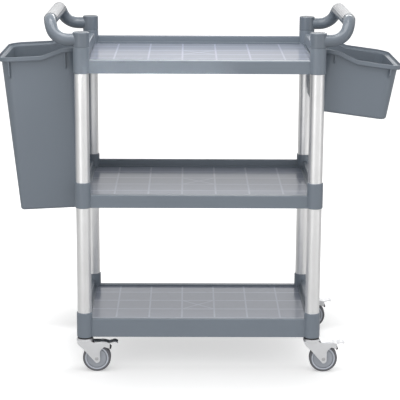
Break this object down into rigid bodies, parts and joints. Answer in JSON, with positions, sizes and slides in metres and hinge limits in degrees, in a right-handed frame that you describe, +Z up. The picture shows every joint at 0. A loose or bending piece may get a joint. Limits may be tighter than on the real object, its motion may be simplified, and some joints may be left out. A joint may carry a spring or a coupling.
{
  "type": "serving trolley",
  "caption": "Tiered serving trolley: moulded shelf trays on round tube posts, end handles, swivel casters with brakes, a tall waste bin and a small bin hung on the ends.",
  "frame": {"origin": "on the ground, midway between the posts", "axes": "+X along the trolley towards the small bin, +Y towards the back (the side away from the top shelf's low lip), +Z up"},
  "size_m": [1.0707, 0.43, 0.9669],
  "materials": {
    "grey_plastic": "semi-gloss moulded",
    "post_aluminium": "satin anodised",
    "grip_plastic": "satin",
    "black_plastic": "moulded",
    "zinc_steel": "zinc plated",
    "wheel_tyre": "smooth rubber",
    "wheel_hub": "moulded",
    "brake_shoe": "blackened"
  },
  "bodies": {
    "frame": {"shelf_top": "grey_plastic", "shelf_middle": "grey_plastic", "shelf_bottom": "grey_plastic", "handle_left": "grey_plastic", "handle_right": "grey_plastic", "grip_left": "grip_plastic", "grip_right": "grip_plastic", "tube_lower_front_left": "post_aluminium", "tube_lower_front_right": "post_aluminium", "tube_lower_rear_left": "post_aluminium", "tube_lower_rear_right": "post_aluminium", "tube_upper_front_left": "post_aluminium", "tube_upper_front_right": "post_aluminium", "tube_upper_rear_left": "post_aluminium", "tube_upper_rear_right": "post_aluminium", "plug_front_left": "black_plastic", "stem_front_left": "zinc_steel", "plug_front_right": "black_plastic", "stem_front_right": "zinc_steel", "plug_rear_left": "black_plastic", "stem_rear_left": "zinc_steel", "plug_rear_right": "black_plastic", "stem_rear_right": "zinc_steel"},
    "swivel_front_left": {"bearing_front_left": "zinc_steel", "fork_front_left": "zinc_steel", "axle_front_left": "zinc_steel", "brake_pin_front_left": "zinc_steel"},
    "wheel_front_left": {"tyre_front_left": "wheel_tyre", "hub_front_left": "wheel_hub"},
    "brake_front_left": {"brake_pedal_front_left": "zinc_steel", "brake_shoe_front_left": "brake_shoe"},
    "swivel_front_right": {"bearing_front_right": "zinc_steel", "fork_front_right": "zinc_steel", "axle_front_right": "zinc_steel", "brake_pin_front_right": "zinc_steel"},
    "wheel_front_right": {"tyre_front_right": "wheel_tyre", "hub_front_right": "wheel_hub"},
    "brake_front_right": {"brake_pedal_front_right": "zinc_steel", "brake_shoe_front_right": "brake_shoe"},
    "swivel_rear_left": {"bearing_rear_left": "zinc_steel", "fork_rear_left": "zinc_steel", "axle_rear_left": "zinc_steel", "brake_pin_rear_left": "zinc_steel"},
    "wheel_rear_left": {"tyre_rear_left": "wheel_tyre", "hub_rear_left": "wheel_hub"},
    "brake_rear_left": {"brake_pedal_rear_left": "zinc_steel", "brake_shoe_rear_left": "brake_shoe"},
    "swivel_rear_right": {"bearing_rear_right": "zinc_steel", "fork_rear_right": "zinc_steel", "axle_rear_right": "zinc_steel", "brake_pin_rear_right": "zinc_steel"},
    "wheel_rear_right": {"tyre_rear_right": "wheel_tyre", "hub_rear_right": "wheel_hub"},
    "brake_rear_right": {"brake_pedal_rear_right": "zinc_steel", "brake_shoe_rear_right": "brake_shoe"},
    "tall_bin": {"bin_tall": "grey_plastic"},
    "small_bin": {"bin_small": "grey_plastic"}
  },
  "joints": [
    {"name": "swivel_turn_front_left", "type": "hinge", "parent": "frame", "child": "swivel_front_left", "pos_m": [-0.3075, -0.1925, 0.09], "axis": [0, 0, 1], "continuous": true},
    {"name": "wheel_spin_front_left", "type": "hinge", "parent": "swivel_front_left", "child": "wheel_front_left", "pos_m": [-0.2755, -0.1925, 0.038], "axis": [0, 1, 0], "continuous": true},
    {"name": "brake_press_front_left", "type": "hinge", "parent": "swivel_front_left", "child": "brake_front_left", "pos_m": [-0.2615, -0.1925, 0.079], "axis": [0, 1, 0], "range_deg": [0, 12]},
    {"name": "swivel_turn_front_right", "type": "hinge", "parent": "frame", "child": "swivel_front_right", "pos_m": [0.3075, -0.1925, 0.09], "axis": [0, 0, 1], "continuous": true},
    {"name": "wheel_spin_front_right", "type": "hinge", "parent": "swivel_front_right", "child": "wheel_front_right", "pos_m": [0.3395, -0.1925, 0.038], "axis": [0, 1, 0], "continuous": true},
    {"name": "brake_press_front_right", "type": "hinge", "parent": "swivel_front_right", "child": "brake_front_right", "pos_m": [0.3535, -0.1925, 0.079], "axis": [0, 1, 0], "range_deg": [0, 12]},
    {"name": "swivel_turn_rear_left", "type": "hinge", "parent": "frame", "child": "swivel_rear_left", "pos_m": [-0.3075, 0.1925, 0.09], "axis": [0, 0, 1], "continuous": true},
    {"name": "wheel_spin_rear_left", "type": "hinge", "parent": "swivel_rear_left", "child": "wheel_rear_left", "pos_m": [-0.2755, 0.1925, 0.038], "axis": [0, 1, 0], "continuous": true},
    {"name": "brake_press_rear_left", "type": "hinge", "parent": "swivel_rear_left", "child": "brake_rear_left", "pos_m": [-0.2615, 0.1925, 0.079], "axis": [0, 1, 0], "range_deg": [0, 12]},
    {"name": "swivel_turn_rear_right", "type": "hinge", "parent": "frame", "child": "swivel_rear_right", "pos_m": [0.3075, 0.1925, 0.09], "axis": [0, 0, 1], "continuous": true},
    {"name": "wheel_spin_rear_right", "type": "hinge", "parent": "swivel_rear_right", "child": "wheel_rear_right", "pos_m": [0.3395, 0.1925, 0.038], "axis": [0, 1, 0], "continuous": true},
    {"name": "brake_press_rear_right", "type": "hinge", "parent": "swivel_rear_right", "child": "brake_rear_right", "pos_m": [0.3535, 0.1925, 0.079], "axis": [0, 1, 0], "range_deg": [0, 12]},
    {"name": "tall_bin_lift", "type": "slide", "parent": "frame", "child": "tall_bin", "axis": [0, 0, 1], "range_m": [0, 0.04]},
    {"name": "small_bin_lift", "type": "slide", "parent": "frame", "child": "small_bin", "axis": [0.0837, 0, 0.9965], "range_m": [0, 0.04]}
  ]
}
